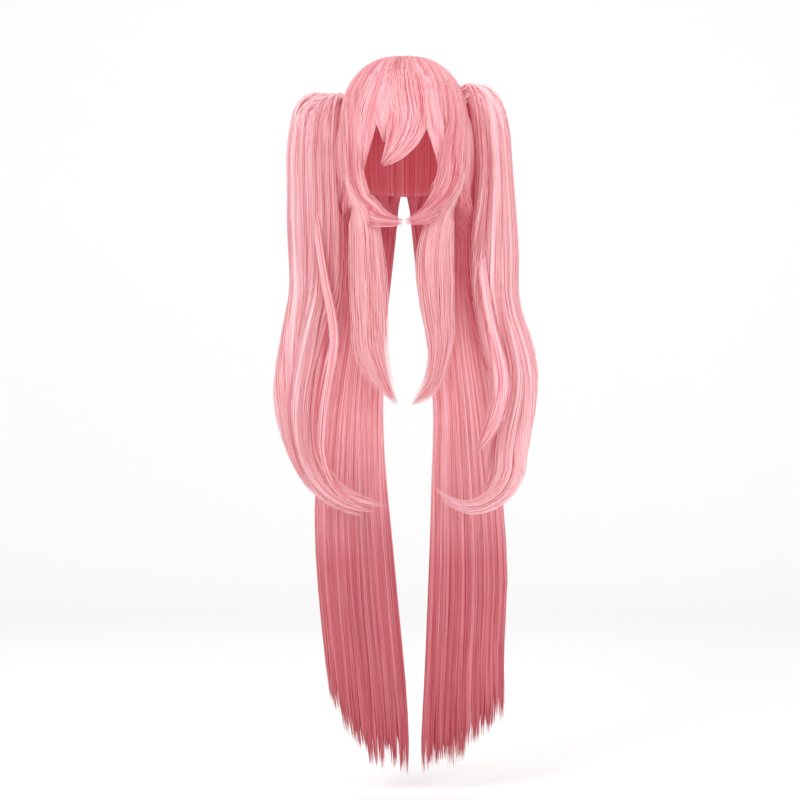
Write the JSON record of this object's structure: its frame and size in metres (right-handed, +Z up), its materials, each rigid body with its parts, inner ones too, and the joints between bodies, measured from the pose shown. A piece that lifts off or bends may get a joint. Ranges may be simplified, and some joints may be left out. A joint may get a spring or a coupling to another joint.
{
  "type": "pigtail wig",
  "caption": "Long straight wig with a parted fringe, face-framing locks, a divided back fall and clip-on pigtails that curl in at the tips.",
  "frame": {"origin": "inside the crown, at the point that rests on the top of the head", "axes": "+Z up along the head, the face looks along -Y, +X to the wearer's left"},
  "size_m": [0.3644, 0.2239, 1.0101],
  "materials": {
    "crown_hair": "silky",
    "front_hair": "silky",
    "pigtail_hair": "silky",
    "back_hair": "silky",
    "clip": "satin"
  },
  "bodies": {
    "root": {"crown": "crown_hair", "clip_right": "clip", "clip_left": "clip", "fringe_middle": "front_hair", "fringe_wisp": "front_hair", "fringe_right": "front_hair", "fringe_left": "front_hair", "cheek_lock_right": "front_hair", "cheek_lock_left": "front_hair", "forelock_right": "front_hair", "forelock_left": "front_hair", "pigtail_right": "pigtail_hair", "pigtail_left": "pigtail_hair", "back_hair_right": "back_hair", "back_hair_left": "back_hair"}
  },
  "joints": []
}
